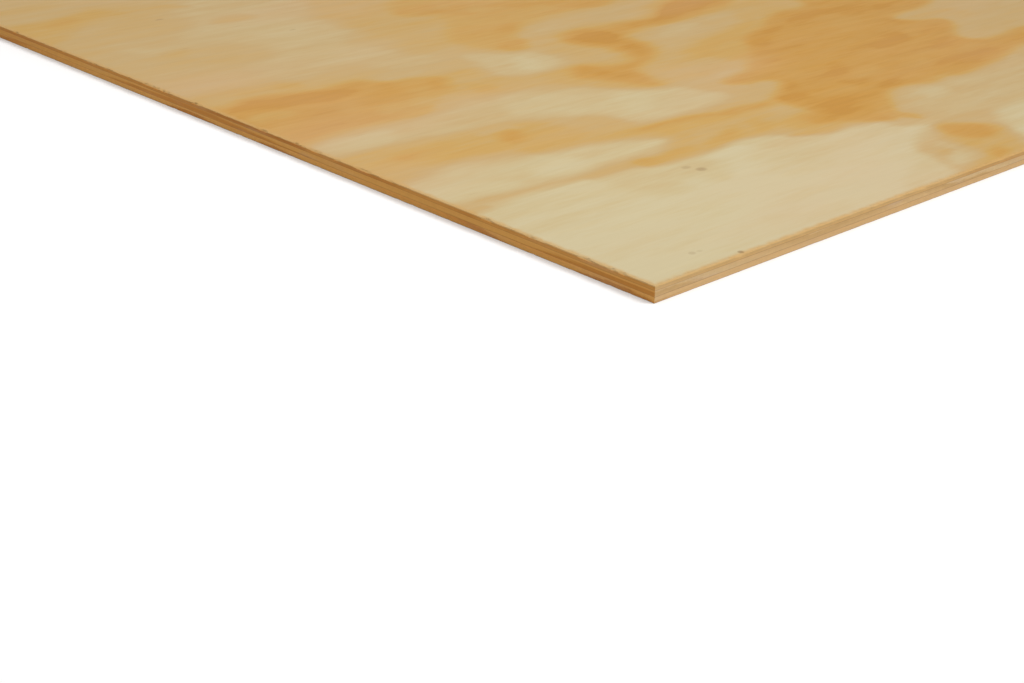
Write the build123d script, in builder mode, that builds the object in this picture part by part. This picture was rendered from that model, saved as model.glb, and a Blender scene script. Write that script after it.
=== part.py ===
"""A three-ply pine plywood sheet, lying flat, in millimetres.

X runs along the sheet's length, which is the way the grain of the face and the back runs.
Y runs across its width, which is the way the grain of the core runs. Z is up.
The origin is the centre of the underside. Three veneers lie on one another, glued face to
face, and the four edges were sawn through all of them at once.
"""

import os

from build123d import *

# The sheet as it is sold.
SHEET_LENGTH = 2440.0
SHEET_WIDTH = 1220.0

# The veneers, from the underside up. The face lost the most to the sander.
BACK_THICKNESS = 2.3
CORE_THICKNESS = 2.2
FACE_THICKNESS = 1.5

# The sanded break along the outer arrises of the face and of the back.
ARRIS_EASE = 0.25

# Where one veneer ends and the next begins.
CORE_LEVEL = BACK_THICKNESS
FACE_LEVEL = CORE_LEVEL + CORE_THICKNESS


def sawn_outline():
    """Draws the outline that the saw left, which all the veneers share."""
    Rectangle(SHEET_LENGTH, SHEET_WIDTH)


with BuildPart() as back_veneer:
    with BuildSketch(Plane.XY):
        sawn_outline()
    extrude(amount=BACK_THICKNESS)
    underside_arrises = back_veneer.edges().group_by(Axis.Z)[0]
    chamfer(underside_arrises, ARRIS_EASE)

with BuildPart() as core_veneer:
    with BuildSketch(Plane.XY.offset(CORE_LEVEL)):
        sawn_outline()
    extrude(amount=CORE_THICKNESS)

with BuildPart() as face_veneer:
    with BuildSketch(Plane.XY.offset(FACE_LEVEL)):
        sawn_outline()
    extrude(amount=FACE_THICKNESS)
    face_arrises = face_veneer.edges().group_by(Axis.Z)[-1]
    chamfer(face_arrises, ARRIS_EASE)

os.makedirs("parts", exist_ok=True)

back_veneer.part.label = "back_veneer"
export_step(back_veneer.part, "parts/back_veneer.step")

core_veneer.part.label = "core_veneer"
export_step(core_veneer.part, "parts/core_veneer.step")

face_veneer.part.label = "face_veneer"
export_step(face_veneer.part, "parts/face_veneer.step")
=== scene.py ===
"""A three-ply pine plywood sheet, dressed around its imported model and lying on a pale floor.

Everything is in metres and in the sheet's own frame: +X runs along the grain of the face, +Y
across it and +Z out of it. The near corner is the one with the lowest X and the lowest Y. Only
the figure that is drawn round that corner is in millimetres, along and across the grain from it.
"""

from __future__ import annotations

import logging
import math
from dataclasses import dataclass, field
from enum import Enum
from typing import Any

import bpy
import numpy as np
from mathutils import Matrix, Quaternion, Vector, noise
from mathutils.geometry import delaunay_2d_cdt

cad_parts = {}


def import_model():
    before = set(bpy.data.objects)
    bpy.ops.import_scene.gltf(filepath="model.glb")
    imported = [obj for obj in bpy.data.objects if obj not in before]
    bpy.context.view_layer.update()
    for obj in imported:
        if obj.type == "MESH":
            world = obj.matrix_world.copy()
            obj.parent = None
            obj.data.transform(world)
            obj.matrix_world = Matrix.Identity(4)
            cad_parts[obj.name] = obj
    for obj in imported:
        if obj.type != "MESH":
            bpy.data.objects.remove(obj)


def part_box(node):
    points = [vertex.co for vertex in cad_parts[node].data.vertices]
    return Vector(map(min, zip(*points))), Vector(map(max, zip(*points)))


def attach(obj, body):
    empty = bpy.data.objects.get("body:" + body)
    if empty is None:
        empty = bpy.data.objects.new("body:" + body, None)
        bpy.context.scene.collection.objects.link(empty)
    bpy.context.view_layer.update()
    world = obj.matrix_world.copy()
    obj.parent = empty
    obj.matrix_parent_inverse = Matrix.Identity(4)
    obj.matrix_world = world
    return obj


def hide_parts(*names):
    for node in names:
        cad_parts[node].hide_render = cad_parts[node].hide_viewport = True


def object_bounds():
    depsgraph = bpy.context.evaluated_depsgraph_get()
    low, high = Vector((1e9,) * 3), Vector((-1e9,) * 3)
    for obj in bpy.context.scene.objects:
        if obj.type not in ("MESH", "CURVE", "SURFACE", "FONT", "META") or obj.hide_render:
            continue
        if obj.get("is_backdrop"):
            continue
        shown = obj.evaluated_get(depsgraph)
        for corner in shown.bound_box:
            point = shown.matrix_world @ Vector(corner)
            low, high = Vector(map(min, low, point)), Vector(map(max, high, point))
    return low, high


log = logging.getLogger("plywood_sheet")

MM = 0.001

# A Field is a number at each of many points. Tones are a ramp's places and colours out of 255.
Field = np.ndarray
Point = tuple[float, float]
Triple = tuple[float, float, float]
Colour = tuple[float, float, float]
Tones = tuple[tuple[float, Colour], ...]
Settings = dict[str, Any] | None
Sockets = dict[str | int, Any] | None


class Grain(Enum):
    """The way a veneer's fibres run."""

    ALONG = "along the sheet"
    ACROSS = "across the sheet"


class Cut(Enum):
    """How a surface of a veneer came about. The value is what its faces carry."""

    SANDED = 0
    GLUED = 1
    END_GRAIN = 2
    LONG_GRAIN = 3


class Side(Enum):
    """Which of the sheet's edges a stretch of the outline is."""

    LONG = "long"
    SHORT = "short"


class Outside(Enum):
    """Which broad side of a veneer is out in the open. The value is the way it looks, along Z."""

    TOP = 1
    UNDERSIDE = -1
    NEITHER = 0


def linear(colour: Colour) -> tuple[float, float, float, float]:
    """Turns a colour as a paint chart gives it into the shader's own terms.

    Args:
        colour: red, green and blue from 0 to 255.

    Returns:
        Linear red, green and blue, with an alpha of 1.
    """
    shares = [c / 255.0 for c in colour]
    return (*[s / 12.92 if s <= 0.04045 else ((s + 0.055) / 1.055) ** 2.4 for s in shares], 1.0)


def smoothstep(share: Field) -> Field:
    """Eases from 0 to 1 as its argument does, with no corner at either end."""
    held = np.clip(share, 0.0, 1.0)
    return held * held * (3.0 - 2.0 * held)


def bumps(along: Field, across: Field, size: Point, seed: float) -> Field:
    """Smooth bumps at each point, about as much above 0 as below.

    Args:
        along: the points' places along the grain.
        across: their places across it.
        size: how long the bumps are along the grain and across it, in the same unit.
        seed: which bumps they are.

    Returns:
        From about -1 to 1.
    """
    places = zip(along / size[0], across / size[1])
    return np.array([noise.noise((x + seed, y - seed, seed)) for x, y in places])


def placed(name: str, data: bpy.types.ID) -> bpy.types.Object:
    """Puts a new object into the scene.

    Args:
        name: its name.
        data: the mesh, lamp or camera that it shows.

    Returns:
        The object.
    """
    made = bpy.data.objects.new(name, data)
    bpy.context.scene.collection.objects.link(made)
    return made


@dataclass(frozen=True)
class Swells:
    """One kind of unevenness in a surface.

    Attributes:
        per_metre: how many of its swells fit in a metre, along X, Y and Z.
        number: what sets its noise apart from the other kinds' in the same finish.
        detail: how many finer layers lie on the coarsest.
        shade: how strongly it lightens and darkens the wood.
        lift: how strongly it lifts and lowers it.
        edges: the noise at which what it makes starts, and at which that is full.
    """

    per_metre: Triple
    number: float
    detail: float = 2.0
    shade: float = 0.0
    lift: float = 0.0
    edges: Point = (0.0, 1.0)


class ShaderValue:
    """An output socket that can be used in sums: each sum adds the Math node that it needs."""

    def __init__(self, bench: NodeBench, socket: bpy.types.NodeSocket) -> None:
        """Holds the socket and the bench that it is on."""
        self.bench = bench
        self.socket = socket

    def __add__(self, other: Any) -> ShaderValue:
        """This value plus another."""
        return self.bench.sum("ADD", self, other)

    def __sub__(self, other: Any) -> ShaderValue:
        """This value less another."""
        return self.bench.sum("SUBTRACT", self, other)

    def __rsub__(self, other: Any) -> ShaderValue:
        """Another less this value."""
        return self.bench.sum("SUBTRACT", other, self)

    def __mul__(self, other: Any) -> ShaderValue:
        """This value times another."""
        return self.bench.sum("MULTIPLY", self, other)

    def __truediv__(self, other: Any) -> ShaderValue:
        """This value over another."""
        return self.bench.sum("DIVIDE", self, other)

    def __rtruediv__(self, other: Any) -> ShaderValue:
        """Another over this value."""
        return self.bench.sum("DIVIDE", other, self)

    __radd__ = __add__
    __rmul__ = __mul__

    def magnitude(self) -> ShaderValue:
        """This value without its sign."""
        return self.bench.sum("ABSOLUTE", self)

    def fraction(self) -> ShaderValue:
        """What this value has over the whole number below it."""
        return self.bench.sum("FRACT", self)

    def least(self, other: Any) -> ShaderValue:
        """The smaller of this value and another."""
        return self.bench.sum("MINIMUM", self, other)

    def most(self, other: Any) -> ShaderValue:
        """The larger of this value and another."""
        return self.bench.sum("MAXIMUM", self, other)

    def eased(self, start: float, end: float) -> ShaderValue:
        """Eases from 0 where this value is at start to 1 where it is at end.

        Args:
            start: the value that gives 0, on either side of end.
            end: the value that gives 1.

        Returns:
            From 0 to 1, held there beyond the two.
        """
        if start > end:
            return 1.0 - self.eased(end, start)
        limits = {"Value": self, "From Min": start, "From Max": end}
        return self.bench.value("ShaderNodeMapRange", {"interpolation_type": "SMOOTHSTEP"}, limits)


class NodeBench:
    """Adds nodes to one tree, of a material, of the world or of Geometry Nodes.

    Attributes:
        tree: the tree, which starts out empty.
        place: the point that noise is read at.
        seed: which noise it is.
    """

    def __init__(self, tree: bpy.types.NodeTree) -> None:
        """Clears the tree that the nodes go into.

        Args:
            tree: the tree.
        """
        self.tree = tree
        self.place: ShaderValue | None = None
        self.seed: Any = 0.0
        tree.nodes.clear()

    def node(self, kind: str, settings: Settings = None, sockets: Sockets = None) -> bpy.types.Node:
        """Adds a node.

        Args:
            kind: the node's type.
            settings: its settings, which are set first; stops are a ramp's places and colours.
            sockets: what its inputs get, by name or number: plain values, or values to link.

        Returns:
            The new node.
        """
        made = self.tree.nodes.new(kind)
        for name, setting in (settings or {}).items():
            if name == "stops":
                self._set_stops(made.color_ramp, setting)
            else:
                setattr(made, name, setting)
        for name, given in (sockets or {}).items():
            if isinstance(given, ShaderValue):
                self.tree.links.new(given.socket, made.inputs[name])
            else:
                made.inputs[name].default_value = given
        return made

    def value(
        self, kind: str, settings: Settings = None, sockets: Sockets = None, output: str | int = 0
    ) -> ShaderValue:
        """Adds a node, as node does, and returns one of its outputs as a value."""
        return ShaderValue(self, self.node(kind, settings, sockets).outputs[output])

    def sum(self, operation: str, *terms: Any) -> ShaderValue:
        """Adds a Math node on one, two or three terms."""
        return self.value("ShaderNodeMath", {"operation": operation}, dict(enumerate(terms)))

    def parts(self, vector: ShaderValue) -> list[ShaderValue]:
        """A vector's X, Y and Z."""
        split = self.node("ShaderNodeSeparateXYZ", None, {0: vector})
        return [ShaderValue(self, split.outputs[axis]) for axis in "XYZ"]

    def scaled(self, vector: ShaderValue, factor: Any) -> ShaderValue:
        """A vector with all its parts multiplied by one factor."""
        return self.value("ShaderNodeVectorMath", {"operation": "SCALE"}, {0: vector, "Scale": factor})

    def attribute(self, name: str) -> ShaderValue:
        """A number that the mesh carries."""
        return self.value("ShaderNodeAttribute", {"attribute_name": name}, output="Fac")

    def noise(self, swells: Swells) -> ShaderValue:
        """Noise at the bench's place.

        Args:
            swells: the kind of unevenness that it has.

        Returns:
            From about -0.5 to 0.5, and 0 on average.
        """
        factors = {0: self.place, 1: swells.per_metre}
        stretched = self.value("ShaderNodeVectorMath", {"operation": "MULTIPLY"}, factors)
        sockets = {"Vector": stretched, "W": self.seed + swells.number, "Scale": 1.0, "Detail": swells.detail}
        return self.value("ShaderNodeTexNoise", {"noise_dimensions": "4D"}, sockets) - 0.5

    def spots(self, swells: Swells) -> ShaderValue:
        """1 where the noise is past its edges, 0 where it is short of them, and eased between."""
        return self.noise(swells).eased(*swells.edges)

    def bump(self, height: ShaderValue, distance: float, strength: float) -> ShaderValue:
        """The way that a surface faces where a height lifts it by a distance, more or less strongly."""
        sockets = {"Height": height, "Distance": distance, "Strength": strength}
        return self.value("ShaderNodeBump", None, sockets)

    def mixed(self, factor: Any, first: Any, second: Any, blend: str = "MIX") -> ShaderValue:
        """One colour laid over another.

        Args:
            factor: how much of the second shows.
            first: the colour below.
            second: the colour above.
            blend: how they mix.

        Returns:
            The mixed colour.
        """
        settings = {"data_type": "RGBA", "blend_type": blend}
        return self.value("ShaderNodeMix", settings, {0: factor, 6: first, 7: second}, output=2)

    def ramp(self, factor: ShaderValue, tones: Tones) -> ShaderValue:
        """The colour that a ramp of tones gives for a factor."""
        settings = {"stops": [(place, linear(colour)) for place, colour in tones]}
        return self.value("ShaderNodeValToRGB", settings, {"Fac": factor})

    def profile(self, factor: ShaderValue, stops: tuple[Point, ...]) -> ShaderValue:
        """The number that a ramp gives for a factor, with its stops as pairs of numbers."""
        settings = {"stops": [(place, (level, level, level, 1.0)) for place, level in stops]}
        return self.value("ShaderNodeValToRGB", settings, {"Fac": factor})

    @staticmethod
    def _set_stops(ramp: bpy.types.ColorRamp, stops: list[tuple[float, tuple[float, ...]]]) -> None:
        """Gives a ramp its stops, the first two of which it has already.

        Args:
            ramp: the ramp.
            stops: their places and colours.
        """
        for _ in stops[2:]:
            ramp.elements.new(1.0)
        for element, (place, colour) in zip(ramp.elements, stops):
            element.position = place
            element.color = colour


# A growth ring from its early wood to its late wood: how far through the ring, and how deep the
# tone is there. The tone grows slowly and drops at once where the next ring starts.
RING_PROFILE: tuple[Point, ...] = (
    (0.00, 0.04),
    (0.16, 0.0),
    (0.33, 0.22),
    (0.50, 0.42),
    (0.63, 0.62),
    (0.72, 0.82),
    (0.79, 1.0),
    (0.84, 1.06),
    (0.90, 1.04),
    (0.94, 0.80),
    (0.97, 0.34),
    (1.00, 0.04),
)
RING_RISE = RING_PROFILE[1:8]


@dataclass(frozen=True)
class GrainPatch:
    """A patch of one tone in the face's figure, drawn in millimetres from the near corner.

    Attributes:
        tone: from 0, cream early wood, to 1, orange late wood.
        fade: how wide its soft edge is, in millimetres.
        outline: its outline's points, each along and across the grain.
    """

    tone: float
    fade: float
    outline: tuple[Point, ...]

    def rounded(self, steps: int = 4) -> Field:
        """The outline as a smooth closed line through its points.

        Args:
            steps: how many points the line has to each of the outline's.

        Returns:
            The line's points, one to a row.
        """
        points = np.array(self.outline, float)
        before = np.roll(points, 1, 0)
        after = np.roll(points, -1, 0)
        beyond = np.roll(points, -2, 0)
        t = (np.arange(steps) / steps)[:, None, None]
        curve = points + 0.5 * t * (
            (after - before)
            + t * (2.0 * before - 5.0 * points + 4.0 * after - beyond)
            + t * t * (3.0 * points - before - 3.0 * after + beyond)
        )
        return curve.transpose(1, 0, 2).reshape(-1, 2)

    def cover(self, along: Field, across: Field) -> Field:
        """How much of the patch lies over each point.

        Args:
            along: the points' distance from the near corner along the grain, in millimetres.
            across: the same across the grain.

        Returns:
            From 0, outside, to 1, inside.
        """
        line = self.rounded()
        low, high = line.min(0) - self.fade, line.max(0) + self.fade
        near = (along > low[0]) & (along < high[0]) & (across > low[1]) & (across < high[1])
        xs, ys = along[near], across[near]
        nearest = np.full(xs.shape, np.inf)
        inside = np.zeros(xs.shape, bool)
        for (x0, y0), (x1, y1) in zip(line, np.roll(line, -1, 0)):
            run, rise = x1 - x0, y1 - y0
            share = ((xs - x0) * run + (ys - y0) * rise) / (run * run + rise * rise)
            held = np.clip(share, 0.0, 1.0)
            nearest = np.minimum(nearest, np.hypot(xs - x0 - held * run, ys - y0 - held * rise))
            if rise:
                crosses = (y0 > ys) != (y1 > ys)
                inside ^= crosses & (xs < x0 + (ys - y0) * run / rise)
        covered = np.zeros(along.shape)
        covered[near] = smoothstep(0.5 + np.where(inside, nearest, -nearest) / self.fade)
        return covered


def patch(tone: float, fade: float, *outline: Point) -> GrainPatch:
    """A patch, with its outline's points one after the other."""
    return GrainPatch(tone, fade, outline)


# How far the figure reaches, with tongues along the grain.
REACH = patch(
    1.0, 42, (-80, -80), (200, -80), (270, -40), (330, -10), (400, 2), (440, 14), (396, 30), (404, 44),
    (470, 52), (500, 66), (462, 84), (476, 100), (540, 112), (520, 132), (490, 150), (500, 190), (486, 206),
    (430, 222), (436, 240), (450, 256), (420, 272), (356, 270), (322, 288), (340, 304), (330, 318),
    (270, 330), (246, 350), (256, 364), (230, 378), (176, 408), (160, 420), (176, 436), (150, 448),
    (104, 464), (48, 508), (-80, 544),
)

# The cream wood at the corner, with faint veils over it.
CORNER_CREAM = (
    patch(
        0.01, 8, (-20, -20), (165, -20), (171, 2), (177, 14), (183, 26), (191, 35), (205, 40), (221, 45),
        (214, 49), (208, 54), (203, 61), (196, 66), (188, 64), (180, 60), (172, 62), (164, 70), (151, 77),
        (138, 81), (125, 79), (110, 79), (98, 80), (88, 83), (78, 85), (68, 86), (60, 86), (50, 88),
        (40, 89), (30, 90), (22, 89), (15, 85), (8, 83), (-20, 83),
    ),
    patch(0.06, 16, (112, 44), (150, 36), (182, 32), (200, 42), (214, 46), (203, 58), (186, 62), (150, 70)),
    patch(0.13, 9, (134, 80), (142, 66), (162, 60), (182, 60), (184, 64), (170, 68), (152, 77)),
    patch(0.08, 16, (-20, 58), (20, 60), (50, 58), (76, 66), (92, 76), (70, 84), (40, 88), (-20, 86)),
    patch(0.11, 12, (140, -14), (168, -14), (176, 8), (182, 22), (174, 24), (160, 16), (146, 8)),
    patch(0.12, 7, (180, 52), (190, 48), (204, 50), (202, 58), (192, 63), (182, 59)),
    patch(0.16, 14, (62, 80), (63, 62), (75, 56), (88, 63), (98, 53), (110, 63), (112, 74), (100, 80)),
    patch(0.1, 12, (124, 62), (140, 64), (156, 58), (176, 56), (170, 48), (140, 46)),
)

# The cream bands farther in across the grain, with what shows in them.
CREAM_BANDS = (
    patch(
        0.15, 12, (-20, 99), (12, 98), (22, 96), (32, 94), (45, 93), (60, 92), (74, 94), (88, 92), (100, 92),
        (110, 96), (116, 103), (105, 109), (92, 114), (75, 119), (55, 123), (40, 127), (28, 129), (15, 127),
        (-20, 123),
    ),
    patch(0.06, 9, (46, 102), (58, 95), (70, 98), (73, 107), (62, 113), (50, 109)),
    patch(0.08, 6, (4, 101), (8, 106), (14, 103), (9, 99)),
    patch(0.06, 8, (-20, 103), (10, 101), (24, 98), (36, 101), (22, 109), (-20, 111)),
    patch(0.4, 5, (-20, 86), (6, 87), (10, 90), (6, 93), (-20, 94)),
    patch(0.38, 4, (10, 97), (22, 95), (40, 93), (62, 92), (64, 88), (40, 90), (22, 91), (10, 93)),
    patch(
        0.26, 8, (-20, 181), (25, 184), (55, 184), (78, 187), (92, 192), (98, 188), (118, 187), (134, 179),
        (148, 170), (163, 160), (175, 151), (179, 144), (183, 134), (187, 129), (180, 121), (160, 120),
        (140, 121), (126, 123), (120, 131), (119, 139), (108, 147), (90, 157), (70, 161), (50, 163),
        (32, 165), (-20, 166),
    ),
    patch(
        0.17, 10, (92, 166), (105, 183), (118, 181), (135, 169), (152, 163), (164, 154), (177, 146),
        (180, 137), (184, 130), (168, 123), (148, 123), (134, 124), (126, 131), (124, 143), (110, 153),
        (100, 160),
    ),
    patch(0.12, 8, (133, 136), (139, 150), (145, 159), (155, 156), (159, 148), (149, 138), (139, 129)),
    patch(0.17, 8, (4, 178), (12, 183), (25, 183), (39, 181), (33, 170), (20, 168), (7, 171)),
    patch(
        0.23, 8, (129, 210), (134, 207), (145, 204), (156, 204), (163, 208), (168, 213), (169, 222),
        (166, 231), (158, 234), (151, 241), (145, 246), (139, 247), (135, 241), (136, 232), (131, 226),
    ),
    patch(0.14, 7, (143, 213), (147, 221), (155, 228), (160, 222), (155, 211), (148, 208)),
    patch(
        0.27, 16, (45, 275), (60, 265), (85, 268), (95, 258), (105, 250), (120, 247), (137, 250), (129, 258),
        (118, 266), (117, 285), (112, 300), (128, 318), (125, 350), (134, 366), (152, 384), (146, 404),
        (116, 420), (88, 410), (80, 392), (78, 375), (45, 345), (25, 350), (28, 335), (60, 332), (78, 318),
        (70, 300), (55, 290),
    ),
    patch(
        0.28, 12, (88, 396), (100, 380), (112, 368), (130, 358), (139, 362), (152, 376), (144, 396),
        (122, 408), (100, 408),
    ),
    patch(0.23, 10, (84, 354), (84, 335), (100, 322), (118, 344), (106, 360), (92, 362)),
    patch(0.42, 9, (82, 366), (90, 376), (104, 374), (106, 366), (94, 362)),
)

# The shades along the short edge, far from the corner.
FAR_SHADES = (
    patch(0.42, 10, (14, 312), (24, 322), (34, 334), (46, 335), (40, 320), (60, 313), (50, 304), (30, 314)),
    patch(0.4, 14, (-20, 360), (30, 388), (60, 402), (68, 392), (50, 380), (20, 362), (5, 350)),
    patch(0.43, 8, (-20, 440), (12, 441), (30, 438), (38, 442), (44, 443), (38, 448), (18, 450), (-20, 452)),
    patch(
        0.43, 10, (-20, 378), (8, 388), (25, 396), (45, 402), (62, 406), (64, 414), (54, 432), (46, 428),
        (36, 426), (20, 424), (-20, 424),
    ),
    patch(
        0.54, 9, (-20, 384), (8, 394), (22, 398), (34, 404), (48, 411), (62, 412), (56, 419), (51, 425),
        (43, 424), (35, 422), (20, 420), (-20, 422),
    ),
    patch(0.66, 7, (12, 407), (20, 414), (34, 419), (34, 412), (24, 406)),
    patch(0.5, 9, (-20, 374), (6, 380), (20, 390), (26, 398), (8, 394), (-20, 388)),
    patch(0.45, 6, (64, 409), (78, 406), (92, 402), (90, 408), (82, 416), (72, 420), (64, 424), (62, 416)),
)

# The broad tan band from the short edge to the blotch, with its veils and its darker threads.
BROAD_BAND = (
    patch(
        0.49, 11, (-20, 129), (8, 131), (18, 136), (28, 137), (38, 135), (54, 131), (62, 126), (70, 121),
        (90, 117), (108, 111), (118, 104), (118, 98), (112, 93), (103, 89), (94, 91), (84, 92), (70, 91),
        (60, 89), (66, 87), (84, 86), (97, 81), (110, 80), (123, 82), (136, 85), (149, 82), (161, 79),
        (171, 74), (182, 68), (206, 64), (206, 112), (190, 112), (170, 117), (158, 117), (140, 118),
        (128, 118), (121, 121), (120, 129), (118, 136), (106, 143), (97, 149), (86, 155), (62, 158),
        (52, 159), (42, 162), (20, 163), (-20, 164),
    ),
    patch(0.41, 8, (60, 86), (62, 90), (80, 91), (86, 87), (72, 85)),
    patch(0.39, 12, (96, 150), (100, 129), (108, 124), (120, 126), (119, 138), (108, 146)),
    patch(0.56, 12, (14, 148), (20, 157), (34, 156), (50, 150), (53, 143), (46, 137), (26, 138), (16, 141)),
    patch(0.66, 7, (17, 151), (22, 153), (26, 148), (22, 145)),
    patch(0.53, 12, (66, 122), (66, 136), (78, 150), (92, 148), (98, 141), (88, 132), (92, 124), (78, 119)),
    patch(0.36, 7, (62, 152), (66, 158), (80, 157), (82, 151), (72, 149)),
    patch(0.76, 8, (65, 140), (69, 148), (77, 150), (79, 145), (75, 139), (69, 137)),
    patch(
        0.57, 6, (119, 113), (124, 117), (136, 116), (150, 117), (160, 113), (172, 112), (182, 109),
        (191, 104), (180, 103), (170, 106), (150, 107), (138, 110), (128, 107), (122, 110),
    ),
    patch(
        0.78, 3, (112, 115), (122, 117), (134, 117), (150, 116), (161, 112.5), (172, 111), (186, 110),
        (204, 110), (186, 107.5), (172, 108), (160, 109.5), (149, 112.5), (134, 113.5), (122, 113.5),
    ),
    patch(0.72, 5, (161, 108), (165, 111), (170, 111), (168, 107)),
    patch(
        0.63, 6, (86, 83), (86, 89), (91, 91), (97, 88), (108, 90), (120, 89), (113, 85), (103, 84),
        (95, 82),
    ),
    patch(0.63, 7, (124, 86), (130, 90), (142, 94), (153, 95), (150, 89), (138, 85)),
    patch(0.74, 5, (135, 88), (141, 92), (147, 93), (143, 88)),
    patch(0.43, 8, (130, 99), (142, 104), (162, 102), (164, 97), (146, 97), (138, 94)),
    patch(0.6, 8, (156, 85), (160, 95), (167, 95), (166, 87)),
    patch(0.62, 8, (168, 79), (176, 86), (188, 90), (190, 82), (180, 76)),
    patch(0.42, 7, (179, 96), (184, 101), (190, 98), (186, 93)),
    patch(0.52, 5, (158, 73), (170, 66), (180, 64), (190, 67), (184, 70), (170, 72)),
    patch(0.28, 6, (203, 56), (211, 57), (219, 53), (226, 48), (217, 46), (207, 50)),
)

# The orange band that comes in from the short edge beyond it.
ORANGE_BAND = (
    patch(0.47, 12, (-20, 247), (5, 268), (22, 272), (30, 269), (46, 265), (56, 254), (68, 249), (76, 244)),
    patch(0.4, 10, (5, 254), (6, 262), (14, 264), (22, 259), (18, 254)),
    patch(0.55, 6, (38, 254), (44, 261), (52, 255), (50, 249), (42, 250)),
    patch(
        0.45, 10, (88, 208), (98, 228), (112, 232), (127, 230), (124, 216), (130, 206), (145, 202),
        (164, 199), (160, 186), (145, 185), (130, 190), (112, 191), (99, 196),
    ),
    patch(0.53, 8, (104, 196), (104, 208), (109, 213), (114, 205), (113, 196)),
    patch(
        0.82, 9, (-20, 187), (15, 190), (30, 191), (45, 190), (60, 189), (70, 192), (77, 200), (86, 206),
        (96, 208), (102, 215), (105, 224), (98, 228), (88, 231), (80, 238), (74, 243), (64, 244), (55, 243),
        (42, 247), (30, 251), (18, 252), (8, 248), (-20, 247),
    ),
    patch(
        1.06, 8, (4, 240), (10, 245), (20, 248), (30, 245), (42, 242), (56, 239), (66, 233), (58, 228),
        (47, 225), (38, 228), (30, 233), (18, 237),
    ),
    patch(0.6, 6, (3, 223), (10, 221), (22, 221), (26, 226), (18, 231), (8, 232)),
    patch(0.9, 8, (4, 195), (8, 206), (28, 222), (40, 216), (36, 204), (20, 194)),
    patch(0.62, 8, (50, 196), (62, 191), (72, 194), (75, 201), (66, 208), (54, 205)),
    patch(0.5, 6, (68, 200), (74, 207), (83, 208), (86, 202), (77, 197)),
    patch(0.72, 6, (40, 210), (44, 217), (52, 221), (52, 212), (46, 208)),
    patch(0.68, 10, (82, 206), (80, 220), (86, 232), (98, 230), (106, 224), (102, 214), (96, 207)),
    patch(0.84, 5, (90, 211), (94, 219), (100, 223), (99, 214)),
)

# The broad faint patch beyond the hook, with its darker spots.
FAINT_PATCH = (
    patch(
        0.44, 14, (122, 266), (130, 258), (142, 256), (150, 248), (156, 241), (166, 237), (174, 238),
        (179, 246), (184, 256), (192, 266), (202, 273), (214, 276), (230, 273), (246, 271), (266, 271),
        (300, 274), (346, 286), (330, 302), (280, 308), (262, 322), (238, 328), (228, 346), (204, 350),
        (190, 366), (170, 368), (158, 380), (146, 376), (140, 364), (134, 354), (130, 344), (134, 334),
        (128, 320), (130, 305), (124, 297), (130, 289), (127, 280),
    ),
    patch(
        0.62, 12, (150, 262), (154, 252), (162, 244), (171, 241), (178, 250), (185, 261), (196, 269),
        (212, 274), (235, 275), (262, 276), (290, 280), (330, 288), (312, 298), (272, 304), (250, 308),
        (246, 322), (222, 328), (212, 344), (190, 352), (172, 342), (165, 331), (163, 322), (174, 312),
        (177, 303), (169, 292), (160, 281), (152, 271),
    ),
    patch(0.38, 6, (136, 343), (147, 345), (158, 350), (156, 344), (146, 340)),
    patch(
        0.76, 7, (165, 322), (167, 330), (176, 335), (187, 334), (192, 326), (186, 321), (193, 317),
        (198, 322), (206, 319), (205, 313), (198, 310), (195, 303), (187, 306), (180, 315), (171, 319),
    ),
    patch(
        0.74, 6, (205, 312), (214, 306), (222, 299), (232, 296), (246, 300), (238, 310), (222, 316),
        (210, 320),
    ),
    patch(0.74, 7, (180, 268), (186, 273), (193, 278), (201, 279), (195, 272), (189, 266)),
    patch(0.76, 8, (160, 241), (164, 252), (172, 256), (180, 253), (178, 245), (170, 238)),
    patch(0.74, 6, (236, 290), (244, 300), (262, 298), (276, 286), (266, 276), (255, 274), (246, 280)),
)

# The hook: its halo, its body, and its darker leg, neck, head and tail.
HOOK = (
    patch(
        0.5, 11, (183, 230), (189, 242), (202, 250), (225, 250), (245, 247), (262, 250), (275, 258),
        (288, 263), (306, 268), (340, 268), (392, 262), (420, 250), (384, 246), (352, 240), (322, 230),
        (300, 228), (270, 226), (240, 226), (226, 222), (225, 206), (216, 191), (202, 183), (191, 174),
        (185, 160), (172, 152), (160, 159), (150, 171), (140, 186), (150, 199), (168, 203), (180, 197),
        (190, 199), (196, 210), (191, 220),
    ),
    patch(
        0.82, 9, (191, 232), (196, 240), (205, 245), (215, 246), (225, 242), (236, 242), (246, 242),
        (256, 240), (266, 244), (274, 249), (282, 254), (294, 259), (312, 262), (342, 262), (384, 257),
        (366, 251), (338, 245), (316, 237), (306, 233), (295, 232), (280, 231), (268, 229), (255, 228),
        (245, 231), (235, 229), (225, 226), (221, 219), (221, 210), (218, 203), (213, 195), (205, 189),
        (196, 186), (188, 182), (182, 177), (179, 169), (176, 162), (173, 157), (167, 161), (163, 170),
        (158, 178), (153, 186), (155, 192), (160, 197), (168, 199), (174, 194), (184, 190), (192, 191),
        (198, 197), (201, 206), (201, 214), (197, 222),
    ),
    patch(0.93, 7, (160, 188), (164, 195), (171, 194), (173, 184), (180, 178), (176, 166), (168, 174)),
    patch(0.97, 7, (202, 193), (205, 202), (208, 211), (213, 217), (218, 215), (216, 206), (211, 198)),
    patch(1.1, 9, (200, 230), (204, 238), (213, 241), (221, 237), (222, 230), (215, 222), (208, 219)),
    patch(0.96, 6, (238, 233), (240, 239), (258, 239), (270, 239), (268, 233), (252, 232)),
    patch(
        1.12, 6, (264, 237), (272, 246), (284, 253), (297, 257), (314, 259), (350, 256), (330, 249),
        (312, 245), (297, 240), (284, 237), (272, 235),
    ),
)

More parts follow.
